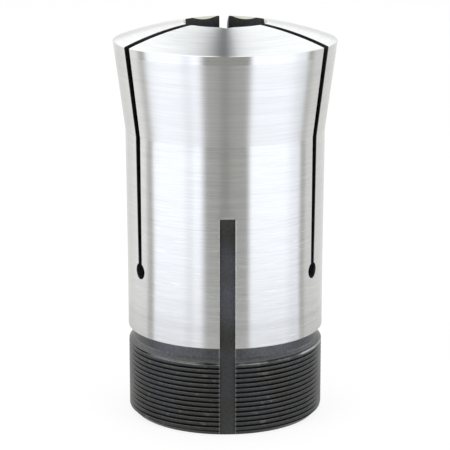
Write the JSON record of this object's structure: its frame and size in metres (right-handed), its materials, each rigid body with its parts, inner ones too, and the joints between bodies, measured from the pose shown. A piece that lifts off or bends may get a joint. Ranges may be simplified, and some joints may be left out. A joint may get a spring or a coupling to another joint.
{
  "type": "hex collet",
  "caption": "Spring steel collet with a hexagonal gripping bore, slit into sprung jaws, with a tapered domed head, a keyway and a black threaded rear end.",
  "frame": {"origin": "centre of the flat end face at the threaded end, which it stands on", "axes": "+Z along the collet's axis towards the nose; the keyway faces -Y; one slot faces +Y"},
  "size_m": [0.057, 0.057, 0.1019],
  "materials": {
    "steel": "turned and ground bright on the outside and face; blackened on the thread, the relief, in the keyway, slots and bores"
  },
  "bodies": {
    "root": {"collet": "steel"}
  },
  "joints": []
}
